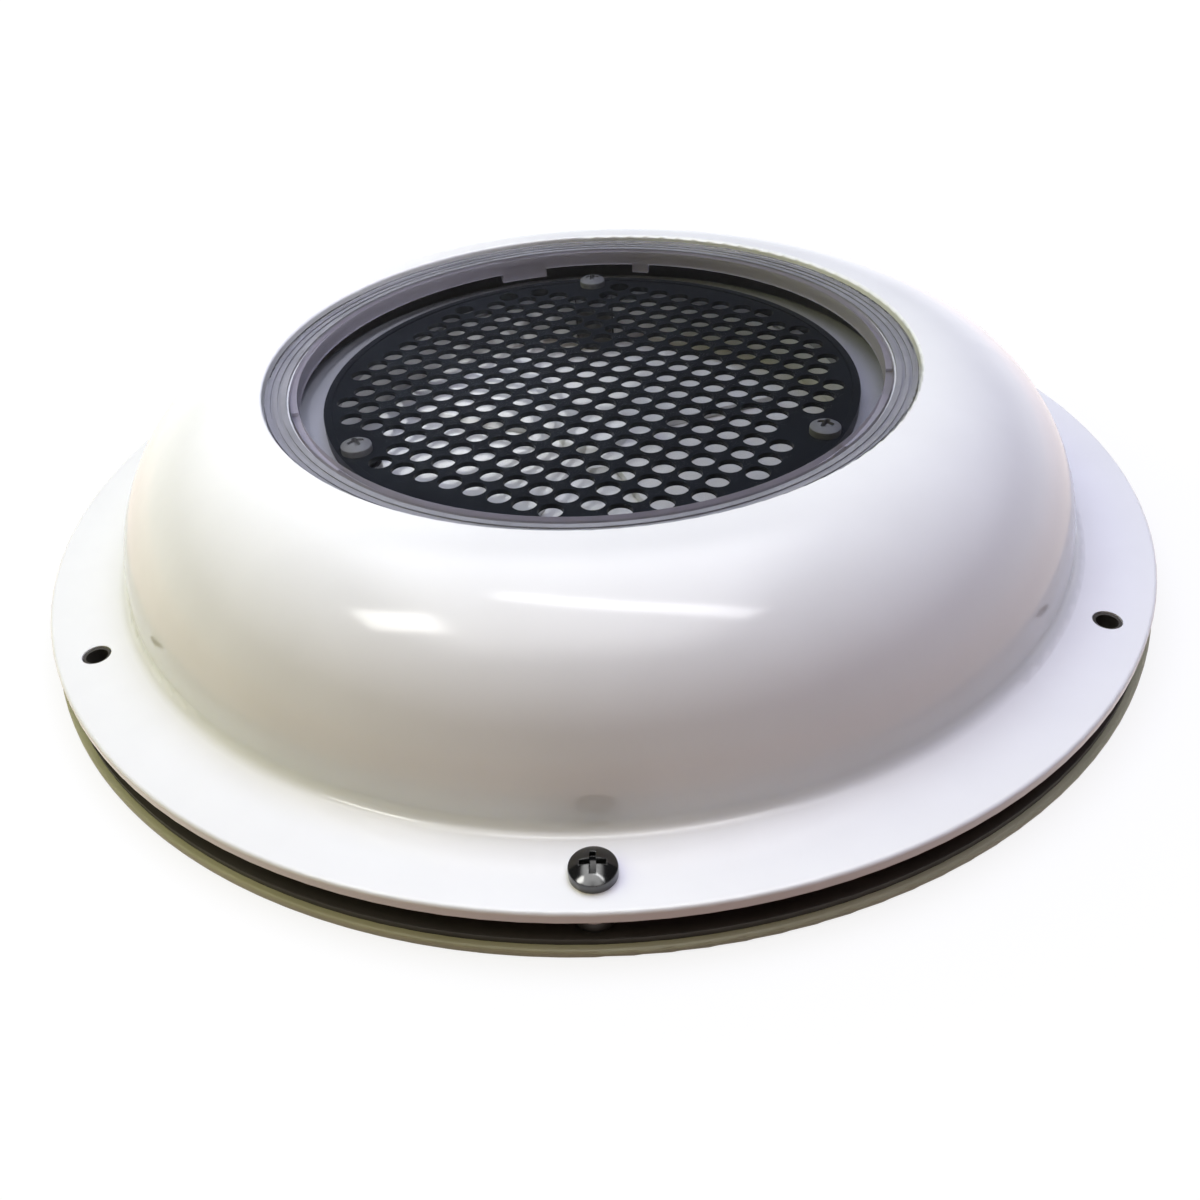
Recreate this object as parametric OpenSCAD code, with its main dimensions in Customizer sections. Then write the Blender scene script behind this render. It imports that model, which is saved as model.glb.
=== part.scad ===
// Caravan roof vent. A white domed cover with a clear round window stands on bosses above a
// flat base, so stale air rises through the duct, passes the insect screen and leaves all round
// under the cover's flange. A rotary shutter inside the duct closes it and is turned from below.
// The origin is the centre of the roof face, +Z points up and the front screw is at -Y.

/* [Cover] */
// Diameter of the cover's flat flange
flange_d = 215; // [200:1:240]
// Thickness of the flange
flange_t = 2.4; // [1.8:0.1:3]
// Width of the flat flange outside the foot of the dome
flange_w = 12.2; // [11.6:0.1:16]
// Radius of the dome's rounded section, from its foot to its crest
dome_section_r = 30.3; // [27:0.1:36]
// Wall thickness of the dome
dome_wall = 2.2; // [1.8:0.1:2.8]
// Radius of the fillet between the dome and the flange
foot_fillet = 2.2; // [1:0.1:2.6]
// Rounding of the flange's outer edges
edge_round = 0.65; // [0.3:0.05:0.9]

/* [Window] */
// Width of the lip from the dome's crest to the window recess
lip_w = 1.1; // [0.8:0.1:2]
// Rounding of the lip's inner edge
lip_round = 0.5; // [0.2:0.1:0.7]
// Depth of the window's top face below the crest
window_drop = 1; // [0.4:0.1:2]
// Thickness of the clear window
window_t = 2; // [1.6:0.1:3]
// Radial clearance between the window and its recess
window_fit = 0.2; // [0.1:0.05:0.4]
// Width of the ledge that carries the window
ledge_w = 4.5; // [4:0.1:6]
// Thickness of the ledge
ledge_t = 1; // [0.9:0.1:2]
// Wall of the skirt under the window
skirt_t = 1.4; // [1:0.1:2]
// Height of the skirt below the ledge
skirt_drop = 1.5; // [0.5:0.1:2]
// Radial clearance between the skirt and the ledge
skirt_fit = 0.25; // [0.15:0.05:0.5]
// Angle taken by each wide snap tab
tab_deg = 10.7; // [8:0.1:14]
// Angle taken by each narrow rib
rib_deg = 3.8; // [3:0.1:6]
// Turn of each wide tab from its pillar's line
tab_turn_deg = 16.5; // [12:0.5:24]
// Turn of each narrow rib from its pillar's line
rib_turn_deg = -11.5; // [-20:0.5:-8]
// Height of a tab below the ledge
tab_h = 3.4; // [2.8:0.1:4]
// How far a tab's hook reaches under the ledge
hook_reach = 0.6; // [0.4:0.1:0.8]
// Height of a hook's outer nose
hook_nose = 0.5; // [0.3:0.1:0.8]
// Clearance between a hook and the ledge above it
hook_fit = 0.1; // [0.05:0.05:0.2]

/* [Window seal] */
// Thickness of the flat window seal
seal_t = 0.5; // [0.4:0.1:1]
// Distance from the seal to each edge of its ledge
seal_edge = 0.3; // [0.2:0.1:0.8]
// Number of grooves in the seal
seal_grooves = 2; // [1:1:3]
// Width of each groove in the seal
seal_groove_w = 0.6; // [0.3:0.1:0.8]
// Depth of each groove in the seal
seal_groove_d = 0.25; // [0.15:0.05:0.3]

/* [Insect screen] */
// Distance from the window's ledge down to the top of the screen
screen_gap = 3.35; // [2.8:0.05:8]
// Thickness of the screen's perforated plate
screen_t = 0.9; // [0.6:0.1:1.5]
// Height of the screen's foot below the plate
foot_h = 1.55; // [0.8:0.05:2.5]
// Wall of the screen's foot
foot_t = 1.4; // [1:0.1:2]
// How far the rim over the foot stands above the plate
screen_lip = 0.2; // [0.1:0.05:0.5]
// Diameter of the screen's boss round each screw
screen_boss_d = 6.4; // [5.8:0.1:6.6]
// Pitch of the screen's openings
mesh_pitch = 5.07; // [4.8:0.01:7]
// Diameter of each opening
mesh_hole_d = 4.3; // [2.4:0.1:4.4]
// Angle of the rows of openings
mesh_deg = -30; // [-45:1:45]
// Plain border of the plate inside the foot
mesh_border = 0.8; // [0.5:0.1:4]
// Thickness of the ring that carries the screen
ring_t = 1.6; // [1.2:0.1:2.4]
// How far the ring reaches into the duct
ring_lap = 2.8; // [1.6:0.1:4]
// How far the ring stands out past the collar's rim
ring_overhang = 0.3; // [0.2:0.1:1]
// Chamfer of the ring's upper edges
ring_chamfer = 0.5; // [0.2:0.1:0.8]
// Length of a screen screw under its head
screen_screw_l = 8.5; // [7.5:0.1:8.8]

/* [Base] */
// Thickness of the base plate
base_t = 1.8; // [1.6:0.1:3]
// Height of the air gap between the base plate and the flange
air_gap = 3.7; // [3:0.1:6]
// Bore of the duct
duct_d = 106; // [98:1:112]
// Wall of the duct's collar
collar_t = 2.5; // [2:0.1:3.5]
// Width of the rim round the top of the collar
rim_w = 4.5; // [2:0.1:6]
// Height of that rim
rim_h = 1.6; // [1.2:0.1:2.5]

/* [Roof seal] */
// How far the roof seal stands out past the cover's flange
roof_seal_overhang = 0.8; // [0.4:0.1:3]
// Thickness of the roof seal under the base plate
roof_seal_t = 0.8; // [0.6:0.1:2]
// Width of the roof seal under the base plate
roof_seal_w = 22; // [18:0.5:28]
// Rounding of the roof seal's outer edges
roof_seal_round = 0.5; // [0.2:0.05:0.6]
// Width of the seal's rim round the edge of the base plate
roof_seal_rim = 1.2; // [1:0.1:2.4]
// Height of that rim above the underside of the base plate
roof_seal_rim_h = 0.7; // [0.5:0.1:1.6]

/* [Fixings] */
// Distance from the flange's edge to the circle of screws
screw_inset = 6.75; // [6:0.05:7.2]
// Number of places round the flange, each second one with a screw and the rest open
screw_places = 6; // [4:2:8]
// Diameter of the cover's open holes over the roof screws
open_hole_d = 4.9; // [4.6:0.1:5.2]
// Clearance of a spigot of the base in its open hole, on the radius
spigot_fit = 0.1; // [0.05:0.05:0.2]
// Wall of a spigot
spigot_t = 0.5; // [0.4:0.1:0.7]
// How far the end of a spigot stays below the flange's face
spigot_drop = 0.3; // [0.1:0.1:0.6]
// Diameter of the bosses under the flange
boss_d = 7.6; // [7:0.1:9]
// Width of the nose that joins a boss to the flange's edge
nose_w = 6.2; // [5.4:0.1:6.8]
// Distance from the rounding of the flange's edge to the end of a nose
nose_inset = 0.9; // [0.1:0.05:2]
// Height of the seats on the base that meet the bosses
tower_h = 1.8; // [1.2:0.1:2.4]
// Head diameter of a cover screw
cover_head_d = 7; // [6:0.1:8]
// Head height of a cover screw
cover_head_h = 2.6; // [2:0.1:3]
// Core diameter of a cover screw
cover_core_d = 2.7; // [2.4:0.1:3.2]
// Height of a cover screw's tip above the underside of the base
screw_floor = 1.4; // [1:0.1:1.8]
// Clearance of a screw's core in its hole, on the radius
screw_fit = 0.02; // [0.01:0.01:0.05]
// Free depth past a screw's tip
tip_room = 0.4; // [0.2:0.1:0.5]
// Head diameter of a small screw
small_head_d = 5.6; // [5:0.1:6.5]
// Head height of a small screw
small_head_h = 2.1; // [1.6:0.1:2.6]
// Core diameter of a small screw
small_core_d = 2.2; // [1.8:0.1:2.5]
// Length of a small screw under its head
small_screw_l = 6.5; // [5:0.1:7.2]
// Depth of the cross recess in a screw head
recess_depth = 1.3; // [0.8:0.1:1.5]
// Width of the cross recess
recess_w = 0.9; // [0.6:0.1:1.2]

/* [Duct closer] */
// Number of screw pillars inside the duct
pillars = 3; // [3:1:4]
// Diameter of a pillar
pillar_d = 8; // [7:0.1:9]
// Length of a pillar below the collar's top
pillar_l = 10.1; // [9.8:0.1:12]
// Thickness of the closer's plate
closer_t = 2; // [1.6:0.1:2.4]
// Radial clearance of the closer in the duct
closer_fit = 0.4; // [0.2:0.1:0.8]
// Wall of the closer's skirt
closer_skirt_t = 1.2; // [1:0.1:1.6]
// Clearance round the head of a screw beside a wall
head_gap = 0.4; // [0.3:0.1:1]
// Height of that skirt below the plate
closer_skirt_h = 4; // [2.5:0.1:5]
// Distance from the top of the closer's sleeve to the screen ring
sleeve_drop = 1; // [0.6:0.1:4]
// Clearance between the sleeve and a pillar
sleeve_room = 0.4; // [0.3:0.1:0.8]
// Number of air windows in the closer
windows = 4; // [3:1:6]
// Inner radius of the air windows
vent_in_r = 14; // [13:0.5:18]
// Clearance between the shutter's blades and the pillars
blade_room = 2.7; // [1:0.1:6]
// Thickness of the shutter's blades
blade_t = 1.6; // [1.2:0.1:2.4]
// How far a blade laps over each side of its air window, in degrees
blade_lap_deg = 2; // [1:0.5:4]
// How far a blade laps over the outer edge of its air window
blade_lap = 1.5; // [1:0.1:2]
// Clearance between the shutter and the closer's plate
shutter_gap = 0.25; // [0.2:0.05:0.4]

/* [Shutter pivot and knob] */
// Diameter of the shutter's stem
stem_d = 8; // [6:0.1:10]
// Radial clearance of the stem in its hub
stem_fit = 0.05; // [0.03:0.01:0.08]
// Wall of the hub round the stem
hub_wall = 3; // [2.5:0.1:4]
// Height of the hub's foot above the base plate
hub_raise = 2.8; // [2:0.1:4]
// Height of the shutter's raised centre above its blades
cap_h = 1.8; // [1:0.1:3]
// Thickness of the friction washer
washer_t = 0.4; // [0.3:0.1:0.5]
// Clearance between the friction washer and the hub
washer_gap = 0.1; // [0.05:0.05:0.15]
// Diameter of the knob
knob_d = 30; // [26:0.5:36]
// Thickness of the knob's disc
knob_t = 1.6; // [1.2:0.1:1.8]
// Length of the grip bar across the knob
grip_l = 26; // [20:0.5:28]
// Width of the grip bar
grip_w = 9; // [8:0.1:12]
// Height of the grip bar
grip_h = 2; // [1.2:0.1:2]
// Diameter of the stop peg under the shutter
peg_d = 2; // [1.6:0.1:2.4]
// Radius at which the stop peg runs
peg_r = 9.6; // [9.2:0.1:10.4]
// Clearance of the stop peg in its slot
peg_fit = 0.3; // [0.2:0.05:0.5]

/* [Hidden] */
$fn = 128;
// Overlap that lets one solid run into the next, or a cut run past a face
over = 1;
// How far a tab or rib stays inside the faces of the skirt
rib_step = 0.1;
// Room round a roof screw in the roof seal
seal_hole_room = 0.5;
// Room round a screw head in the grip bar
head_room = 0.6;
// Heights of the base and the cover
base_bottom = roof_seal_t;
roof_seal_top = base_bottom + roof_seal_rim_h;
base_top = base_bottom + base_t;
tower_top = base_top + tower_h;
flange_bottom = base_top + air_gap;
flange_top = flange_bottom + flange_t;
crest_z = flange_top + dome_section_r;
cover_screw_l = flange_top - base_bottom - screw_floor;
// Heights of the window and its seat
window_top = crest_z - window_drop;
window_bottom = window_top - window_t;
ledge_top = window_bottom - seal_t;
ledge_bottom = ledge_top - ledge_t;
tab_bottom = ledge_bottom - tab_h;
tab_top = (ledge_bottom + window_bottom) / 2;
// Heights of the insect screen
screen_top = ledge_bottom - screen_gap;
plate_bottom = screen_top - screen_t;
ring_top = plate_bottom - foot_h;
collar_top = ring_top - ring_t;
// Radii of the cover and the base
flange_r = flange_d / 2;
fillet_r = flange_r - flange_w;
crest_r = fillet_r - sqrt(pow(dome_section_r + foot_fillet, 2) - pow(foot_fillet, 2));
dome_inner_r = dome_section_r - dome_wall;
recess_r = crest_r - lip_w;
window_r = recess_r - window_fit;
ledge_in_r = recess_r - ledge_w;
skirt_r = ledge_in_r - skirt_fit;
rib_out_r = skirt_r - rib_step;
rib_in_r = skirt_r - skirt_t + rib_step;
seal_in_r = ledge_in_r + seal_edge;
seal_out_r = recess_r - seal_edge;
roof_seal_r = flange_r + roof_seal_overhang;
base_r = roof_seal_r - roof_seal_rim;
screw_circle_r = flange_r - screw_inset;
spigot_d = open_hole_d - 2 * spigot_fit;
mount_hole_d = spigot_d - 2 * spigot_t;
nose_reach = screw_inset - edge_round - nose_inset - nose_w / 2;
// Radii of the duct
duct_r = duct_d / 2;
collar_r = duct_r + collar_t;
rim_r = collar_r + rim_w;
ring_in_r = duct_r - ring_lap;
ring_out_r = rim_r + ring_overhang;
screen_r = ring_in_r + foot_t;
pillar_inset = closer_fit + closer_skirt_t + head_gap + small_head_d / 2;
pillar_r = duct_r - pillar_inset;
// The closer and the shutter
closer_top = collar_top - pillar_l;
closer_bottom = closer_top - closer_t;
closer_r = duct_r - closer_fit;
hub_r = stem_d / 2 + stem_fit + hub_wall;
hub_bottom = base_top + hub_raise;
washer_top = hub_bottom - washer_gap;
knob_top = washer_top - washer_t;
knob_bottom = knob_top - knob_t;
blade_bottom = closer_top + shutter_gap;
blade_top = blade_bottom + blade_t;
blade_r = pillar_r - pillar_d / 2 - blade_room;
vent_out_r = blade_r - blade_lap;
window_pitch_deg = 360 / windows;
vent_deg = window_pitch_deg / 2;
blade_deg = vent_deg + 2 * blade_lap_deg;
shutter_travel_deg = vent_deg;
peg_half_deg = asin((peg_d / 2 + peg_fit) / peg_r);
centre_r = vent_in_r - blade_lap;
// Shape of a pan head: shoulder rounding by its height, crown radius and recess by its diameter
pan_shoulder = 0.6;
pan_crown = 0.83;
recess_span = 0.53;
// Colours
white_plastic = [0.95, 0.95, 0.94];
pale_rubber = [0.72, 0.71, 0.68];
clear_plastic = [0.80, 0.86, 0.88, 0.35];
black_plastic = [0.09, 0.10, 0.12];
dark_plastic = [0.24, 0.25, 0.27];
grey_rubber = [0.42, 0.42, 0.44];
black_steel = [0.05, 0.05, 0.05];
bright_steel = [0.72, 0.73, 0.74];

// Places children evenly on a circle
module ring_of(count, r, start_deg = -90) {
    for (i = [0 : count - 1])
        rotate([0, 0, start_deg + i * 360 / count])
            translate([r, 0, 0])
                children();
}

// Each second place round the flange, from the front one on, has a cover screw
module screwed_places() {
    ring_of(screw_places / 2, screw_circle_r) children();
}

// The places between them stay open for the roof screws
module open_places() {
    ring_of(screw_places / 2, screw_circle_r, -90 + 360 / screw_places) children();
}

// Holes at all the places, through a layer between two heights
module place_holes(from_z, to_z, open_d, core_fit) {
    open_places()
        rod(open_d, from_z - over, to_z + over);
    screwed_places()
        rod(cover_core_d + 2 * core_fit, from_z - over, to_z + over);
}

// Pillars stand in line with the open places
module pillar_places() {
    ring_of(pillars, pillar_r, -90 + 180 / pillars) children();
}

// Plain hole or peg along Z between two heights
module rod(d, from_z, to_z) {
    translate([0, 0, from_z])
        cylinder(d = d, h = to_z - from_z);
}

// Round boss with a nose that reaches out to the flange's edge
module boss(from_z, to_z) {
    rod(boss_d, from_z, to_z);
    translate([nose_reach, 0, 0])
        rod(nose_w, from_z, to_z);
    translate([0, -nose_w / 2, from_z])
        cube([nose_reach, nose_w, to_z - from_z]);
}

// Rectangle of a section, given by its radii and heights
module band(in_r, out_r, from_z, to_z) {
    translate([in_r, from_z])
        square([out_r - in_r, to_z - from_z]);
}

// Section of a plate's edge, rounded above and below
module round_band(in_r, out_r, from_z, to_z, round_r) {
    band(in_r, out_r - round_r, from_z, to_z);
    band(in_r, out_r, from_z + round_r, to_z - round_r);
    for (z = [from_z + round_r, to_z - round_r])
        translate([out_r - round_r, z])
            circle(r = round_r);
}

// Piece of material that a rounding takes off a corner, with the corner up and to the left
module corner_cut(round_r) {
    difference() {
        translate([-over, 0])
            square([round_r + over, round_r + over]);
        translate([round_r, 0])
            circle(r = round_r);
    }
}

// Cross-recessed pan head screw, head up, its seat at the origin
module pan_screw(head_d, head_h, core_d, length) {
    head_r = head_d / 2;
    shoulder = pan_shoulder * head_h;
    crown_r = pan_crown * head_d;
    wing = recess_span * head_d;
    difference() {
        union() {
            rotate_extrude()
                intersection() {
                    round_band(0, head_r, -head_h, head_h, shoulder);
                    translate([0, head_h - crown_r])
                        circle(r = crown_r);
                    band(0, head_r, 0, head_h);
                }
            rod(core_d, -length, head_h - shoulder);
        }
        for (turn = [0, 90])
            rotate([0, 0, turn])
                translate([-wing / 2, -recess_w / 2, head_h - recess_depth])
                    cube([wing, recess_w, recess_depth + over]);
    }
}

// Section of the cover's shell before its window seat is added
module shell_section() {
    fillet_rise = foot_fillet * dome_section_r / (dome_section_r + foot_fillet);
    difference() {
        union() {
            intersection() {
                translate([crest_r, flange_top])
                    circle(r = dome_section_r);
                band(recess_r, flange_r, flange_bottom, crest_z + over);
            }
            difference() {
                band(crest_r, fillet_r, flange_bottom, flange_top + fillet_rise);
                translate([fillet_r, flange_top + foot_fillet])
                    circle(r = foot_fillet);
            }
            round_band(crest_r, flange_r, flange_bottom, flange_top, edge_round);
        }
        intersection() {
            translate([crest_r, flange_top])
                circle(r = dome_inner_r);
            band(recess_r - over, flange_r, flange_top, crest_z);
        }
        band(recess_r - over, crest_r + dome_inner_r, flange_bottom - over, flange_top);
        translate([recess_r, crest_z - lip_round - lip_sag()])
            corner_cut(lip_round);
    }
}

// Drop of the dome's section from its crest to the window recess
function lip_sag() = dome_section_r - sqrt(pow(dome_section_r, 2) - pow(lip_w, 2));

// Domed cover with its flange and window seat
module cover() {
    color(white_plastic)
        difference() {
            rotate_extrude() {
                shell_section();
                band(recess_r, recess_r + dome_wall, ledge_bottom, crest_z - dome_wall);
                band(ledge_in_r, recess_r + dome_wall, ledge_bottom, ledge_top);
            }
            place_holes(flange_bottom, flange_top, open_hole_d, 2 * screw_fit);
        }
}

// Bosses under the flange that keep the air gap open
module cover_bosses() {
    color(white_plastic)
        difference() {
            ring_of(screw_places, screw_circle_r)
                boss(tower_top, flange_bottom);
            place_holes(tower_top, flange_bottom, open_hole_d, 2 * screw_fit);
        }
}

// Section of a narrow rib: a strip that runs down from inside the skirt
module rib_section() {
    band(rib_in_r, rib_out_r, tab_bottom, tab_top);
}

// Section of a snap tab: the same strip with a hook that reaches under the ledge
module tab_section() {
    hook_r = ledge_in_r + hook_reach;
    hook_top = ledge_bottom - hook_fit;
    polygon([
        [rib_in_r, tab_bottom],
        [rib_out_r, tab_bottom],
        [hook_r, hook_top - hook_nose],
        [hook_r, hook_top],
        [rib_out_r, hook_top],
        [rib_out_r, tab_top],
        [rib_in_r, tab_top]
    ]);
}

// Clear window with a skirt inside the ledge, wide snap tabs and narrow ribs
module window() {
    color(clear_plastic) {
        rotate_extrude() {
            round_band(0, window_r, window_bottom, window_top, lip_round);
            band(skirt_r - skirt_t, skirt_r, ledge_bottom - skirt_drop, window_bottom + window_t / 2);
        }
        for (i = [0 : pillars - 1])
            rotate([0, 0, 90 + i * 360 / pillars]) {
                rotate([0, 0, tab_turn_deg - tab_deg / 2])
                    rotate_extrude(angle = tab_deg)
                        tab_section();
                rotate([0, 0, rib_turn_deg - rib_deg / 2])
                    rotate_extrude(angle = rib_deg)
                        rib_section();
            }
    }
}

// Flat rubber ring on the ledge that carries the window, with grooves between its ribs
module window_seal() {
    rib_pitch = (seal_out_r - seal_in_r) / (seal_grooves + 1);
    color(grey_rubber)
        rotate_extrude()
            difference() {
                band(seal_in_r, seal_out_r, ledge_top, window_bottom);
                for (i = [1 : seal_grooves])
                    translate([seal_in_r + i * rib_pitch, window_bottom])
                        square([seal_groove_w, 2 * seal_groove_d], center = true);
            }
}

// Lug that takes a screw, joined to the wall that lies outside it
module lug(d, from_z, to_z, reach) {
    rod(d, from_z, to_z);
    translate([0, -d / 2, from_z])
        cube([reach, d, to_z - from_z]);
}

// Ring on the collar that carries the screen, with a lug at each pillar
module screen_ring() {
    color(dark_plastic)
        difference() {
            union() {
                rotate_extrude()
                    polygon([
                        [ring_in_r, collar_top],
                        [ring_out_r, collar_top],
                        [ring_out_r, ring_top - ring_chamfer],
                        [ring_out_r - ring_chamfer, ring_top],
                        [ring_in_r, ring_top]
                    ]);
                pillar_places()
                    lug(pillar_d, collar_top, ring_top, pillar_inset);
            }
            pillar_places()
                rod(small_core_d + 4 * screw_fit, collar_top - over, ring_top + over);
        }
}

// Distance from a point to the nearest pillar's axis
function pillar_gap(p) = min([
    for (i = [0 : pillars - 1])
        let (a = -90 + 180 / pillars + i * 360 / pillars)
            norm(p - pillar_r * [cos(a), sin(a)])
]);

// Middles of the screen's openings, in rows that run at the mesh angle
function mesh_places() = let (n = ceil(duct_r / mesh_pitch), reach = mesh_hole_d / 2) [
    for (i = [-n : n], j = [-n : n])
        let (p = mesh_pitch * [
            (i + 0.5) * cos(mesh_deg) - (j + 0.5) * sin(mesh_deg),
            (i + 0.5) * sin(mesh_deg) + (j + 0.5) * cos(mesh_deg)
        ])
            if (norm(p) + reach < ring_in_r - mesh_border && pillar_gap(p) > pillar_d / 2 + reach) p
];

// Moulded insect screen: a perforated plate on a foot, with a boss round each screw
module insect_screen() {
    foot_mid_r = screen_r - foot_t / 2;
    color(black_plastic)
        difference() {
            union() {
                translate([0, 0, plate_bottom])
                    linear_extrude(height = screen_t)
                        difference() {
                            circle(r = foot_mid_r);
                            for (p = mesh_places())
                                translate(p)
                                    circle(d = mesh_hole_d);
                        }
                rotate_extrude()
                    band(ring_in_r, screen_r, ring_top, screen_top + screen_lip);
                pillar_places()
                    lug(screen_boss_d, ring_top, screen_top - screen_t / 2, foot_mid_r - pillar_r);
            }
            pillar_places() {
                rod(small_core_d + 4 * screw_fit, ring_top - over, screen_top + over);
                rod(small_head_d + 2 * head_gap, screen_top, screen_top + over);
            }
        }
}

// Screws that hold the screen and the ring on the pillars
module screen_screws() {
    color(bright_steel)
        pillar_places()
            translate([0, 0, screen_top])
                pan_screw(small_head_d, small_head_h, small_core_d, screen_screw_l);
}

// Collar of the duct on the base plate, with a rim for the screen ring and the pillars inside it
module duct_collar() {
    pilot_d = small_core_d + 2 * screw_fit;
    fillet_end_r = collar_r + foot_fillet;
    fillet_top = base_top + foot_fillet;
    color(black_plastic)
        difference() {
            union() {
                rotate_extrude() {
                    band(duct_r, collar_r, base_top, collar_top);
                    band(duct_r, rim_r, collar_top - rim_h, collar_top);
                    difference() {
                        band(collar_r - collar_t / 2, fillet_end_r, base_top, fillet_top);
                        translate([fillet_end_r, fillet_top])
                            circle(r = foot_fillet);
                    }
                }
                pillar_places()
                    lug(pillar_d, closer_top, collar_top, pillar_inset + collar_t / 2);
            }
            pillar_places() {
                rod(pilot_d, screen_top - screen_screw_l - tip_room, collar_top + over);
                rod(pilot_d, closer_top - over, closer_bottom + small_screw_l + tip_room);
            }
        }
}

// Flat base plate round the duct
module base() {
    color(black_plastic)
        difference() {
            rotate_extrude()
                band(duct_r, base_r, base_bottom, base_top);
            open_places()
                rod(mount_hole_d, base_bottom - over, base_top + over);
            screwed_places()
                rod(cover_core_d + 2 * screw_fit, flange_top - cover_screw_l - tip_room, base_top + over);
        }
}

// Seats on the base plate that meet the cover's bosses, with spigots that line the open holes
module base_seats() {
    color(black_plastic)
        difference() {
            union() {
                ring_of(screw_places, screw_circle_r)
                    boss(base_top, tower_top);
                open_places()
                    rod(spigot_d, tower_top - over, flange_top - spigot_drop);
            }
            place_holes(base_top, flange_top, mount_hole_d, screw_fit);
        }
}

// Rubber seal between the base and the roof, with a rim that wraps the edge of the base plate
module roof_seal() {
    color(pale_rubber)
        difference() {
            rotate_extrude()
                difference() {
                    round_band(roof_seal_r - roof_seal_w, roof_seal_r, 0, roof_seal_top, roof_seal_round);
                    band(0, base_r, base_bottom, base_top + over);
                }
            open_places()
                rod(mount_hole_d + 2 * seal_hole_room, -over, base_bottom + over);
        }
}

// Screws that hold the cover to the base
module cover_screws() {
    color(black_steel)
        screwed_places()
            translate([0, 0, flange_top])
                pan_screw(cover_head_d, cover_head_h, cover_core_d, cover_screw_l);
}

// Closer in the duct: a plate with air windows, a skirt, a sleeve and the hub of the shutter
module closer_frame() {
    sleeve_top = collar_top - sleeve_drop;
    slot_w = pillar_d + 2 * sleeve_room;
    color(white_plastic)
        difference() {
            rotate_extrude() {
                band(0, closer_r, closer_bottom, closer_top);
                band(closer_r - closer_skirt_t, closer_r, closer_bottom - closer_skirt_h, sleeve_top);
                band(0, hub_r, hub_bottom, closer_top);
            }
            pillar_places()
                translate([0, -slot_w / 2, closer_top])
                    cube([pillar_inset + over, slot_w, sleeve_top - closer_top + over]);
            rod(stem_d + 2 * stem_fit, hub_bottom - over, closer_top + over);
            for (i = [0 : windows - 1])
                rotate([0, 0, i * window_pitch_deg + vent_deg / 2])
                    rotate_extrude(angle = vent_deg)
                        band(vent_in_r, vent_out_r, closer_bottom - over, closer_top + over);
            stop_slot();
            pillar_places()
                rod(small_core_d + 4 * screw_fit, closer_bottom - over, closer_top + over);
        }
}

// Curved slot in the closer that lets the stop peg travel as far as the shutter turns
module stop_slot() {
    slot_w = peg_d + 2 * peg_fit;
    rotate([0, 0, -peg_half_deg])
        rotate_extrude(angle = shutter_travel_deg + 2 * peg_half_deg)
            band(peg_r - slot_w / 2, peg_r + slot_w / 2, closer_bottom - over, closer_top + over);
}

// Screws that hold the closer under the pillars, heads down
module closer_screws() {
    color(bright_steel)
        pillar_places()
            translate([0, 0, closer_bottom])
                mirror([0, 0, 1])
                    pan_screw(small_head_d, small_head_h, small_core_d, small_screw_l);
}

// Rotary shutter: blades over the air windows, a raised centre, the stem and the stop peg
module shutter() {
    color(white_plastic)
        difference() {
            union() {
                for (i = [0 : windows - 1])
                    rotate([0, 0, i * window_pitch_deg + vent_deg - blade_deg / 2])
                        rotate_extrude(angle = blade_deg)
                            band(centre_r - blade_lap, blade_r, blade_bottom, blade_top);
                rod(2 * centre_r, blade_bottom, blade_top);
                rotate_extrude()
                    round_band(0, hub_r, blade_bottom, blade_top + cap_h, edge_round);
                rod(stem_d, knob_top, blade_bottom + blade_t / 2);
                translate([peg_r, 0, 0])
                    rod(peg_d, closer_bottom, blade_bottom + blade_t / 2);
            }
            rod(small_core_d + 2 * screw_fit, knob_top - over, knob_bottom + small_screw_l + tip_room);
        }
}

// Washer that keeps the shutter where it is put
module friction_washer() {
    color(bright_steel)
        difference() {
            rod(2 * hub_r, knob_top, washer_top);
            rod(stem_d + 2 * stem_fit, knob_top - over, washer_top + over);
        }
}

// Knob with a grip bar, turned from below
module shutter_knob() {
    color(white_plastic)
        difference() {
            union() {
                rotate_extrude()
                    round_band(0, knob_d / 2, knob_bottom, knob_top, lip_round);
                intersection() {
                    translate([-grip_l / 2, -grip_w / 2, knob_bottom - grip_h])
                        cube([grip_l, grip_w, grip_h + knob_t / 2]);
                    rod(grip_l, knob_bottom - grip_h, knob_top);
                }
            }
            rod(small_core_d + 4 * screw_fit, knob_bottom - over, knob_top + over);
            rod(small_head_d + 2 * head_room, knob_bottom - grip_h - over, knob_bottom);
        }
}

// Screw that holds the knob on the stem
module knob_screw() {
    color(bright_steel)
        translate([0, 0, knob_bottom])
            mirror([0, 0, 1])
                pan_screw(small_head_d, small_head_h, small_core_d, small_screw_l);
}

cover();
cover_bosses();
window();
window_seal();
screen_ring();
insect_screen();
screen_screws();
duct_collar();
base();
base_seats();
roof_seal();
cover_screws();
closer_frame();
closer_screws();
shutter();
friction_washer();
shutter_knob();
knob_screw();
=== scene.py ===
"""Looks, light and camera for the caravan roof vent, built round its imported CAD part."""

import math

import bpy
from mathutils import Matrix, Vector

MM = 0.001

# The photograph's camera, fitted to the flange, the window, the screw and the holes
ELEVATION = math.radians(33.325)
DISTANCE = 236.65 * MM
YAW = math.radians(-0.158)
PITCH = math.radians(-4.198)
ROLL = math.radians(3.210)
TURN = math.radians(1.93)
LENS = 33.195
SENSOR = 36.0
NEAREST = 0.005
FARTHEST = 50.0

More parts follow.
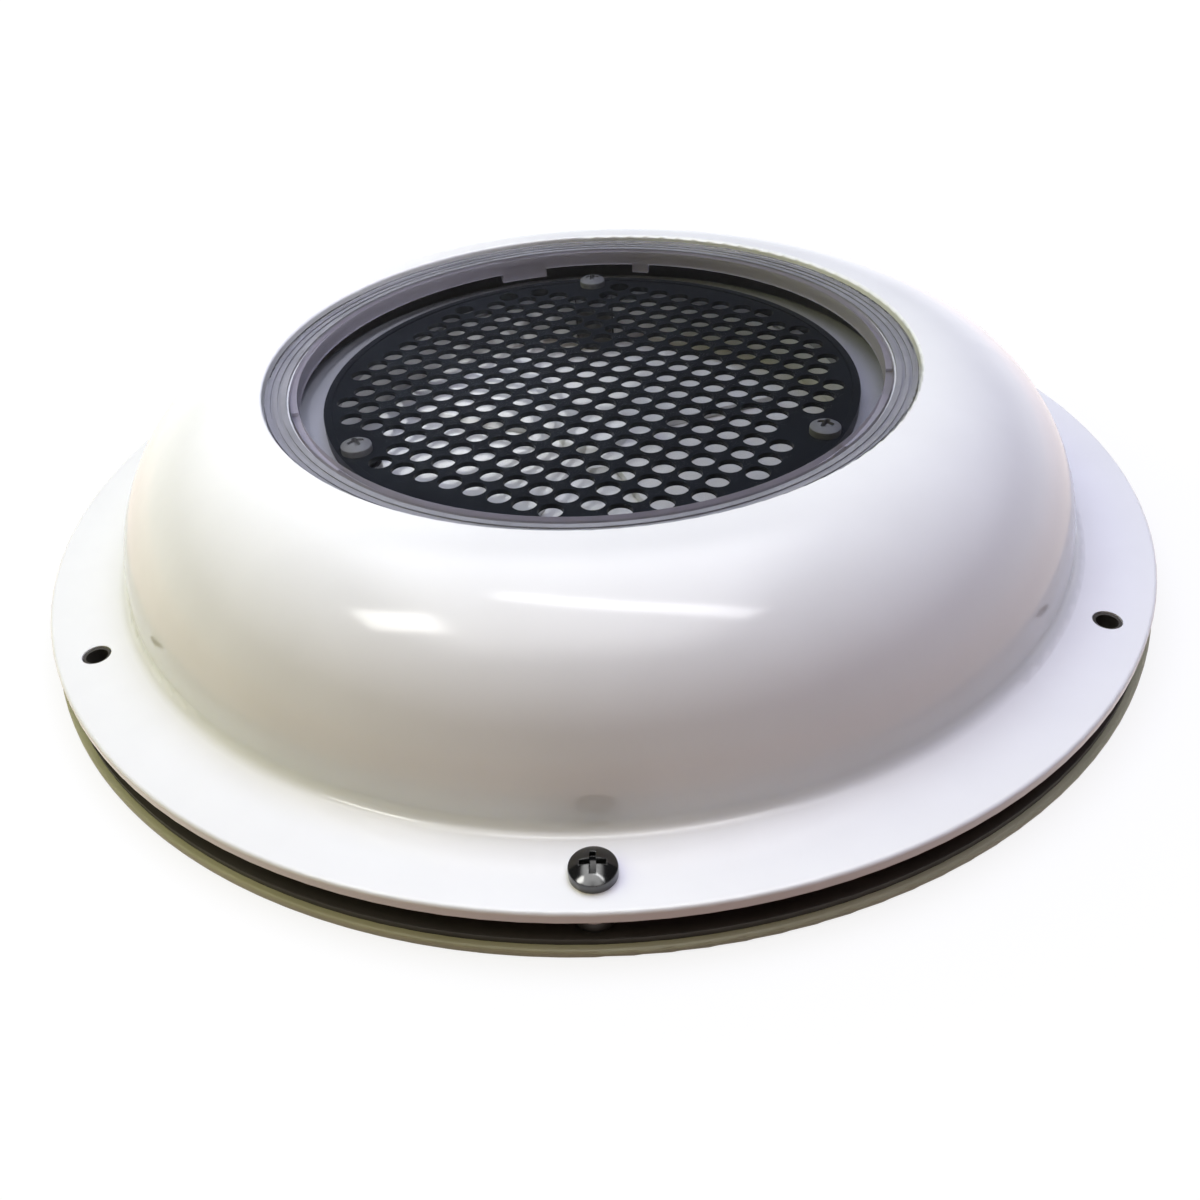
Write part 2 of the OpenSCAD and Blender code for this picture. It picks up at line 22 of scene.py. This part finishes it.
# Surface detail
RAMP_LOW = 0.3
RAMP_HIGH = 0.7
MOTTLE_DETAIL = 4.0
GRAIN_SCALE = 2500.0
GRAIN_DEPTH = 0.05 * MM
BEVEL_SAMPLES = 4

# Clear moulding: the outer reflection is weaker than a real pane's, to keep the screen in sight
PANE_IOR = 1.49
PANE_SCALE = 40.0
PANE_GLARE = 0.3
FROST_TOP = 35.9 * MM
FROST_SHARE = 0.6

# Floor: its glow rises from the object's edge outwards
FLOOR_HALF = 6.0
FLOOR_SCALE = 3.0
FLOOR_SEEN = 0.15
GLOW_NEAR = 0.12
GLOW_FAR = 0.45
GLOW_LOW = 0.84
GLOW_HIGH = 1.0

# Surroundings: heights are those of a ray's direction
SKY_WHITE = 1.0
SKY_DARK = 0.03
HORIZON_LOW = 0.03
HORIZON_HIGH = 0.25

LAMP_MIDDLE = 0.5
BEAM_BLEND = 0.6

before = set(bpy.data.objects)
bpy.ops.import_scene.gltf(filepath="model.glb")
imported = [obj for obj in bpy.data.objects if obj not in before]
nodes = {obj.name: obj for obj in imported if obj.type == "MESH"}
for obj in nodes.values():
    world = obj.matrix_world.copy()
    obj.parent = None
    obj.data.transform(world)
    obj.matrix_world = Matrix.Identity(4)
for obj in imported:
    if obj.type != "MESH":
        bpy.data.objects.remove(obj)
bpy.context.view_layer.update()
scene = bpy.context.scene
scene.view_settings.view_transform = "Standard"


def grey(level):
    """Opaque grey of one level."""
    return (level, level, level, 1)


def adder(tree):
    """Helper that adds a node to a tree and sets its properties."""

    def add(kind, **values):
        node = tree.nodes.new(kind)
        for key, value in values.items():
            setattr(node, key, value)
        return node

    return add


def material(name):
    """Empty node material, with helpers that link and add nodes, and its output."""
    mat = bpy.data.materials.new(name)
    mat.use_nodes = True
    tree = mat.node_tree
    tree.nodes.clear()
    add = adder(tree)
    return mat, tree.links.new, add, add("ShaderNodeOutputMaterial")


def set_range(node, from_min, from_max, to_min, to_max):
    """Set the four limits of a map range node."""
    node.inputs["From Min"].default_value = from_min
    node.inputs["From Max"].default_value = from_max
    node.inputs["To Min"].default_value = to_min
    node.inputs["To Max"].default_value = to_max


def mottle(link, add, low, high, scale):
    """Soft variation between two colours over the object's own coordinates."""
    coord = add("ShaderNodeTexCoord")
    noise = add("ShaderNodeTexNoise")
    noise.inputs["Scale"].default_value = scale
    noise.inputs["Detail"].default_value = MOTTLE_DETAIL
    ramp = add("ShaderNodeValToRGB")
    first, last = ramp.color_ramp.elements
    first.position = RAMP_LOW
    first.color = (*low, 1)
    last.position = RAMP_HIGH
    last.color = (*high, 1)
    link(coord.outputs["Object"], noise.inputs["Vector"])
    link(noise.outputs["Fac"], ramp.inputs["Fac"])
    return noise, ramp


def solid(
    name, low, high, rough, rough_span=0.06, scale=60.0, metal=0.0, grain=0.0, soft_edge=0.0, ior=1.5
):
    """Opaque finish: mottled colour, uneven roughness, fine grain and edges softened in millimetres."""
    mat, link, add, out = material(name)
    noise, ramp = mottle(link, add, low, high, scale)
    shader = add("ShaderNodeBsdfPrincipled")
    shader.inputs["Metallic"].default_value = metal
    shader.inputs["IOR"].default_value = ior
    spread = add("ShaderNodeMapRange")
    spread.inputs["To Min"].default_value = rough - rough_span / 2
    spread.inputs["To Max"].default_value = rough + rough_span / 2
    link(noise.outputs["Fac"], spread.inputs["Value"])
    link(ramp.outputs["Color"], shader.inputs["Base Color"])
    link(spread.outputs["Result"], shader.inputs["Roughness"])
    normal = None
    if soft_edge:
        bevel = add("ShaderNodeBevel", samples=BEVEL_SAMPLES)
        bevel.inputs["Radius"].default_value = soft_edge * MM
        normal = bevel.outputs["Normal"]
    if grain:
        fine = add("ShaderNodeTexNoise")
        fine.inputs["Scale"].default_value = GRAIN_SCALE
        coord = add("ShaderNodeTexCoord")
        bump = add("ShaderNodeBump")
        bump.inputs["Strength"].default_value = grain
        bump.inputs["Distance"].default_value = GRAIN_DEPTH
        link(coord.outputs["Object"], fine.inputs["Vector"])
        link(fine.outputs["Fac"], bump.inputs["Height"])
        if normal:
            link(normal, bump.inputs["Normal"])
        normal = bump.outputs["Normal"]
    if normal:
        link(normal, shader.inputs["Normal"])
    link(shader.outputs["BSDF"], out.inputs["Surface"])
    return mat


def bending(link, add, colour):
    """Sharp refraction and reflection, whose outer reflection is weakened."""
    bent = add("ShaderNodeBsdfRefraction")
    bent.inputs["IOR"].default_value = PANE_IOR
    bent.inputs["Roughness"].default_value = 0.0
    mirrored = add("ShaderNodeBsdfAnisotropic")
    mirrored.inputs["Roughness"].default_value = 0.0
    side = add("ShaderNodeNewGeometry")
    glare = add("ShaderNodeMix", data_type="RGBA")
    glare.inputs["A"].default_value = grey(PANE_GLARE)
    glare.inputs["B"].default_value = grey(1)
    edge = add("ShaderNodeFresnel")
    edge.inputs["IOR"].default_value = PANE_IOR
    glass = add("ShaderNodeMixShader")
    link(colour, bent.inputs["Color"])
    link(side.outputs["Backfacing"], glare.inputs["Factor"])
    link(glare.outputs["Result"], mirrored.inputs["Color"])
    link(edge.outputs["Fac"], glass.inputs["Fac"])
    link(bent.outputs["BSDF"], glass.inputs[1])
    link(mirrored.outputs["BSDF"], glass.inputs[2])
    return glass.outputs["Shader"]


def clear(name, low, high, frost):
    """Clear moulding that bends what is seen through it, while lamp light passes straight on.

    Its snap skirt, which lies below FROST_TOP, is frosted by a share of plain colour."""
    mat, link, add, out = material(name)
    _, ramp = mottle(link, add, low, high, PANE_SCALE)
    glass = bending(link, add, ramp.outputs["Color"])
    through = add("ShaderNodeBsdfTransparent")
    path = add("ShaderNodeLightPath")
    straight = add("ShaderNodeMath", operation="MAXIMUM")
    mixed = add("ShaderNodeMixShader")
    link(ramp.outputs["Color"], through.inputs["Color"])
    link(path.outputs["Is Shadow Ray"], straight.inputs[0])
    link(path.outputs["Is Diffuse Ray"], straight.inputs[1])
    link(straight.outputs["Value"], mixed.inputs["Fac"])
    link(glass, mixed.inputs[1])
    link(through.outputs["BSDF"], mixed.inputs[2])
    coord = add("ShaderNodeTexCoord")
    height = add("ShaderNodeSeparateXYZ")
    below = add("ShaderNodeMath", operation="LESS_THAN")
    below.inputs[1].default_value = FROST_TOP
    share = add("ShaderNodeMath", operation="MULTIPLY")
    share.inputs[1].default_value = FROST_SHARE
    dull = add("ShaderNodeBsdfDiffuse")
    dull.inputs["Color"].default_value = (*frost, 1)
    frosted = add("ShaderNodeMixShader")
    link(coord.outputs["Object"], height.inputs["Vector"])
    link(height.outputs["Z"], below.inputs[0])
    link(below.outputs["Value"], share.inputs[0])
    link(share.outputs["Value"], frosted.inputs["Fac"])
    link(mixed.outputs["Shader"], frosted.inputs[1])
    link(dull.outputs["BSDF"], frosted.inputs[2])
    link(frosted.outputs["Shader"], out.inputs["Surface"])
    return mat


white = solid("white_plastic", (0.80, 0.80, 0.79), (0.83, 0.83, 0.82), 0.11, rough_span=0.03, soft_edge=0.3)
# Closer and shutter: a darker copy of the same white plastic, painted shade for the parts inside the vent
inner = solid("white_painted_shade", (0.71, 0.71, 0.70), (0.75, 0.75, 0.74), 0.3, soft_edge=0.2)
black = solid(
    "black_plastic", (0.006, 0.007, 0.010), (0.009, 0.011, 0.015), 0.45, grain=0.15, soft_edge=0.15, ior=1.35
)
# Base, seats and collar: a lighter, brownish copy of the black plastic, painted light that lifts their shade
# in the gap under the flange and in the duct
black_painted_light = solid(
    "black_painted_light", (0.036, 0.033, 0.028), (0.050, 0.046, 0.040), 0.45, grain=0.15, soft_edge=0.15
)
dark = solid("dark_plastic", (0.27, 0.27, 0.29), (0.32, 0.32, 0.34), 0.38, grain=0.1, soft_edge=0.15)
seal_grey = solid("pale_rubber", (0.39, 0.39, 0.26), (0.46, 0.46, 0.32), 0.5, grain=0.2)
gasket = solid("grey_rubber", (0.24, 0.235, 0.25), (0.29, 0.285, 0.30), 0.5, grain=0.2)
black_steel = solid(
    "black_steel",
    (0.005, 0.005, 0.005),
    (0.010, 0.010, 0.010),
    0.12,
    rough_span=0.04,
    soft_edge=0.25,
    ior=1.9,
)
dull_steel = solid("dull_steel", (0.15, 0.15, 0.16), (0.20, 0.20, 0.21), 0.5, metal=0.3, soft_edge=0.12)
steel = solid("bright_steel", (0.34, 0.34, 0.345), (0.42, 0.42, 0.425), 0.4, metal=1.0, soft_edge=0.12)
pane = clear("clear_plastic", (0.975, 0.98, 0.985), (0.985, 0.99, 0.995), (0.47, 0.44, 0.49))

FINISH = {
    "cover": white,
    "cover_bosses": white,
    "window": pane,
    "window_seal": gasket,
    "screen_ring": dark,
    "insect_screen": black,
    "screen_screws": dull_steel,
    "duct_collar": black_painted_light,
    "base": black_painted_light,
    "base_seats": black_painted_light,
    "roof_seal": seal_grey,
    "cover_screws": black_steel,
    "closer_frame": inner,
    "closer_screws": steel,
    "shutter": inner,
    "friction_washer": steel,
    "shutter_knob": white,
    "knob_screw": steel,
}
for node_name, finish in FINISH.items():
    nodes[node_name].material_slots[0].material = finish


def floor():
    """Pale floor that the camera sees as white, with the object's shadow kept."""
    mesh = bpy.data.meshes.new("floor")
    signs = ((-1, -1), (1, -1), (1, 1), (-1, 1))
    mesh.from_pydata([(x * FLOOR_HALF, y * FLOOR_HALF, 0) for x, y in signs], [], [(0, 1, 2, 3)])
    obj = bpy.data.objects.new("floor", mesh)
    scene.collection.objects.link(obj)
    mat, link, add, out = material("floor")
    _, ramp = mottle(link, add, (0.32, 0.21, 0.17), (0.36, 0.23, 0.19), FLOOR_SCALE)
    plain = add("ShaderNodeMix", data_type="RGBA")
    plain.inputs["B"].default_value = grey(FLOOR_SEEN)
    diffuse = add("ShaderNodeBsdfDiffuse")
    glow = add("ShaderNodeEmission")
    path = add("ShaderNodeLightPath")
    seen = add("ShaderNodeMath", operation="MAXIMUM")
    seen_too = add("ShaderNodeMath", operation="MAXIMUM")
    level = add("ShaderNodeMath", operation="MULTIPLY")
    coord = add("ShaderNodeTexCoord")
    away = add("ShaderNodeVectorMath", operation="LENGTH")
    fade = add("ShaderNodeMapRange")
    set_range(fade, GLOW_NEAR, GLOW_FAR, GLOW_LOW, GLOW_HIGH)
    total = add("ShaderNodeAddShader")
    link(coord.outputs["Object"], away.inputs[0])
    link(away.outputs["Value"], fade.inputs["Value"])
    link(fade.outputs["Result"], level.inputs[1])
    link(path.outputs["Is Camera Ray"], seen.inputs[0])
    link(path.outputs["Is Glossy Ray"], seen.inputs[1])
    link(seen.outputs["Value"], seen_too.inputs[0])
    link(path.outputs["Is Transmission Ray"], seen_too.inputs[1])
    link(seen_too.outputs["Value"], level.inputs[0])
    link(level.outputs["Value"], glow.inputs["Strength"])
    link(path.outputs["Is Camera Ray"], plain.inputs["Factor"])
    link(ramp.outputs["Color"], plain.inputs["A"])
    link(plain.outputs["Result"], diffuse.inputs["Color"])
    link(diffuse.outputs["BSDF"], total.inputs[0])
    link(glow.outputs["Emission"], total.inputs[1])
    link(total.outputs["Shader"], out.inputs["Surface"])
    mesh.materials.append(mat)


def fade_edges(data, width):
    """Let a lamp's light fade towards its edges, over a share of its length and width."""
    data.use_nodes = True
    tree = data.node_tree
    link = tree.links.new
    add = adder(tree)
    glow = next(node for node in tree.nodes if node.type == "EMISSION")
    place = add("ShaderNodeNewGeometry")
    axes = add("ShaderNodeSeparateXYZ")
    both = add("ShaderNodeMath", operation="MULTIPLY")
    link(place.outputs["Parametric"], axes.inputs["Vector"])
    for slot, axis in enumerate("XY"):
        away = add("ShaderNodeMath", operation="SUBTRACT")
        away.inputs[1].default_value = LAMP_MIDDLE
        far = add("ShaderNodeMath", operation="ABSOLUTE")
        fade = add("ShaderNodeMapRange", interpolation_type="SMOOTHSTEP")
        set_range(fade, LAMP_MIDDLE - width, LAMP_MIDDLE, 1.0, 0.0)
        link(axes.outputs[axis], away.inputs[0])
        link(away.outputs["Value"], far.inputs[0])
        link(far.outputs["Value"], fade.inputs["Value"])
        link(fade.outputs["Result"], both.inputs[slot])
    link(both.outputs["Value"], glow.inputs["Strength"])


def lamp(name, place, target, along, size, power, colour, fills=True, shines=True, fade=0.0):
    """Soft rectangular lamp aimed at a point, its length laid along a direction.

    It gives diffuse light where it fills, and shows in reflections where it shines."""
    data = bpy.data.lights.new(name, "AREA")
    data.shape = "RECTANGLE"
    data.size, data.size_y = size
    data.energy = power
    data.color = colour
    if fade:
        fade_edges(data, fade)
    back = (Vector(place) - Vector(target)).normalized()
    side = Vector(along)
    side = (side - side.dot(back) * back).normalized()
    pose = Matrix((side, back.cross(side), back)).transposed().to_4x4()
    pose.translation = place
    obj = bpy.data.objects.new(name, data)
    obj.matrix_world = pose
    obj.visible_diffuse = fills
    obj.visible_glossy = shines
    obj.visible_transmission = False
    scene.collection.objects.link(obj)


def beam(name, place, target, angle, radius, power):
    """Round lamp with a narrow soft cone, aimed at a point."""
    data = bpy.data.lights.new(name, "SPOT")
    data.spot_size = angle
    data.spot_blend = BEAM_BLEND
    data.shadow_soft_size = radius
    data.energy = power
    obj = bpy.data.objects.new(name, data)
    obj.rotation_euler = (Vector(target) - Vector(place)).to_track_quat("-Z", "Y").to_euler()
    obj.location = place
    scene.collection.objects.link(obj)


def sky():
    """Surroundings: white to the camera, and in reflections white at the horizon and dark overhead."""
    world = bpy.data.worlds.new("surroundings")
    scene.world = world
    world.use_nodes = True
    tree = world.node_tree
    tree.nodes.clear()
    link = tree.links.new
    add = adder(tree)
    out = add("ShaderNodeOutputWorld")
    back = add("ShaderNodeBackground")
    back.inputs["Color"].default_value = grey(1)
    path = add("ShaderNodeLightPath")
    coord = add("ShaderNodeTexCoord")
    height = add("ShaderNodeSeparateXYZ")
    fade = add("ShaderNodeMapRange")
    set_range(fade, HORIZON_LOW, HORIZON_HIGH, SKY_WHITE, SKY_DARK)
    mirrored = add("ShaderNodeMath", operation="MAXIMUM")
    lit = add("ShaderNodeMix")
    lit.inputs["A"].default_value = SKY_DARK
    level = add("ShaderNodeMix")
    level.inputs["B"].default_value = SKY_WHITE
    link(coord.outputs["Generated"], height.inputs["Vector"])
    link(height.outputs["Z"], fade.inputs["Value"])
    link(path.outputs["Is Glossy Ray"], mirrored.inputs[0])
    link(path.outputs["Is Transmission Ray"], mirrored.inputs[1])
    link(mirrored.outputs["Value"], lit.inputs["Factor"])
    link(fade.outputs["Result"], lit.inputs["B"])
    link(path.outputs["Is Camera Ray"], level.inputs["Factor"])
    link(lit.outputs["Result"], level.inputs["A"])
    link(level.outputs["Result"], back.inputs["Strength"])
    link(back.outputs["Background"], out.inputs["Surface"])


def camera():
    """Camera at the photograph's place, angle and lens."""
    right = Vector((1, 0, 0))
    ahead = Vector((0, math.cos(ELEVATION), -math.sin(ELEVATION)))
    up = Vector((0, math.sin(ELEVATION), math.cos(ELEVATION)))
    yawed_right = math.cos(YAW) * right - math.sin(YAW) * ahead
    yawed_ahead = math.sin(YAW) * right + math.cos(YAW) * ahead
    pitched_up = math.cos(PITCH) * up - math.sin(PITCH) * yawed_ahead
    view_ahead = math.sin(PITCH) * up + math.cos(PITCH) * yawed_ahead
    view_right = math.cos(ROLL) * yawed_right - math.sin(ROLL) * pitched_up
    view_up = math.sin(ROLL) * yawed_right + math.cos(ROLL) * pitched_up
    pose = Matrix((view_right, view_up, -view_ahead)).transposed().to_4x4()
    pose.translation = -DISTANCE * ahead
    data = bpy.data.cameras.new("camera")
    data.sensor_width = SENSOR
    data.lens = LENS
    data.clip_start = NEAREST
    data.clip_end = FARTHEST
    obj = bpy.data.objects.new("camera", data)
    obj.matrix_world = Matrix.Rotation(TURN, 4, "Z") @ pose
    scene.collection.objects.link(obj)
    scene.camera = obj


def lamps():
    """Tinted fill lamps, lamps that only show in reflections, and a beam into the window."""
    lamp(
        "left",
        place=(-0.64, 0.06, 0.54),
        target=(0, 0, 0.02),
        along=(0, 1, 0),
        size=(0.9, 0.7),
        power=3.9,
        colour=(0.96, 1.0, 0.52),
        shines=False,
    )
    lamp(
        "top",
        place=(0, 0, 0.9),
        target=(0, 0, 0),
        along=(1, 0, 0),
        size=(1.0, 1.0),
        power=3.0,
        colour=(1.0, 0.63, 0.50),
        shines=False,
    )
    lamp(
        "panel",
        place=(0.04, 0.18, 0.75),
        target=(0.02, 0.03, 0),
        along=(0.907, -0.42, 0),
        size=(0.9, 0.5),
        power=7.3,
        colour=(0.63, 0.74, 1.0),
        shines=False,
    )
    lamp(
        "ceiling",
        place=(-0.07, -0.03, 0.75),
        target=(-0.07, -0.03, 0),
        along=(1, 0, 0),
        size=(1.0, 1.2),
        power=10.5,
        colour=(1.0, 1.0, 1.0),
        fills=False,
        fade=0.28,
    )
    lamp(
        "tube",
        place=(0.088, -0.12, 0.74),
        target=(0.088, -0.12, 0),
        along=(0.893, -0.45, 0),
        size=(0.66, 0.075),
        power=1.1,
        colour=(0.98, 0.98, 1.0),
        fills=False,
        fade=0.1,
    )
    lamp(
        "spot",
        place=(-0.50, -0.22, 0.75),
        target=(-0.44, -0.20, 0),
        along=(1, 0, 0),
        size=(0.32, 0.19),
        power=1.8,
        colour=(1.0, 0.99, 0.95),
        fills=False,
        fade=0.2,
    )
    beam(
        "window_beam",
        place=(-0.02, -0.45, 0.72),
        target=(-0.028, 0.004, 0.031),
        angle=math.radians(5.2),
        radius=0.03,
        power=36.0,
    )


floor()
sky()
lamps()
camera()
